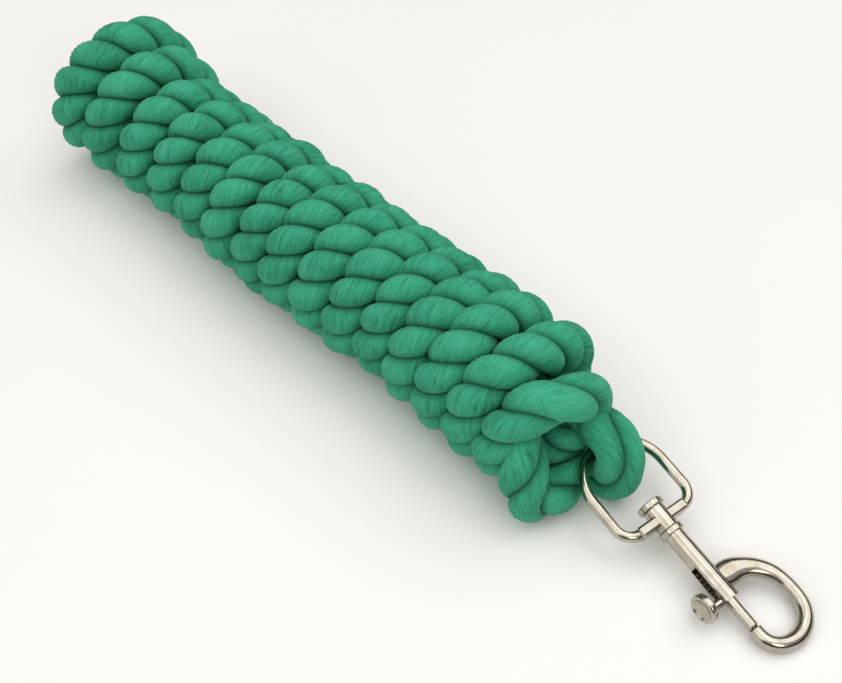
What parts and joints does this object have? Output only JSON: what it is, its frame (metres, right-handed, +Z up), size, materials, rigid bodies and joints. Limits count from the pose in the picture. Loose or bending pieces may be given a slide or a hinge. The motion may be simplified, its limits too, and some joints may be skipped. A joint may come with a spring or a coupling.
{
  "type": "lead rope",
  "caption": "Soft three-strand lead rope wound into a hank, looped through the swivel eye of a sliding bolt snap.",
  "frame": {"origin": "centre of the bottom of the bounding box, on the surface that the hank rests on", "axes": "+X along the hank towards the snap, +Z up"},
  "size_m": [0.4214, 0.067, 0.0654],
  "materials": {
    "rope": "matt soft-spun yarn",
    "nickel": "polished nickel plate over a zinc casting",
    "bolt_nickel": "polished nickel-plated steel rod",
    "spring_steel": "bright drawn wire"
  },
  "bodies": {
    "rope": {"rope_hank": "rope", "rope_eye": "rope"},
    "eye": {"swivel_eye": "nickel"},
    "snap": {"hook_body": "nickel", "swivel_post": "nickel", "bolt_spring": "spring_steel"},
    "latch": {"bolt": "bolt_nickel", "thumb_stud": "nickel"}
  },
  "joints": [
    {"name": "eye_swing", "type": "hinge", "parent": "rope", "child": "eye", "pos_m": [0.10835, 0.0071, 0.0205], "axis": [-0.1685, -0.9857, 0], "range_deg": [-80, 80]},
    {"name": "swivel_spin", "type": "hinge", "parent": "eye", "child": "snap", "pos_m": [0.14425, 0.00096, 0.01402], "axis": [0.9705, -0.1659, -0.175], "continuous": true},
    {"name": "bolt_slide", "type": "slide", "parent": "snap", "child": "latch", "axis": [-0.9705, 0.1659, 0.175], "range_m": [0, 0.013], "stiffness_N_per_m": 350, "springref_m": -0.008, "deforming": ["bolt_spring"]}
  ]
}
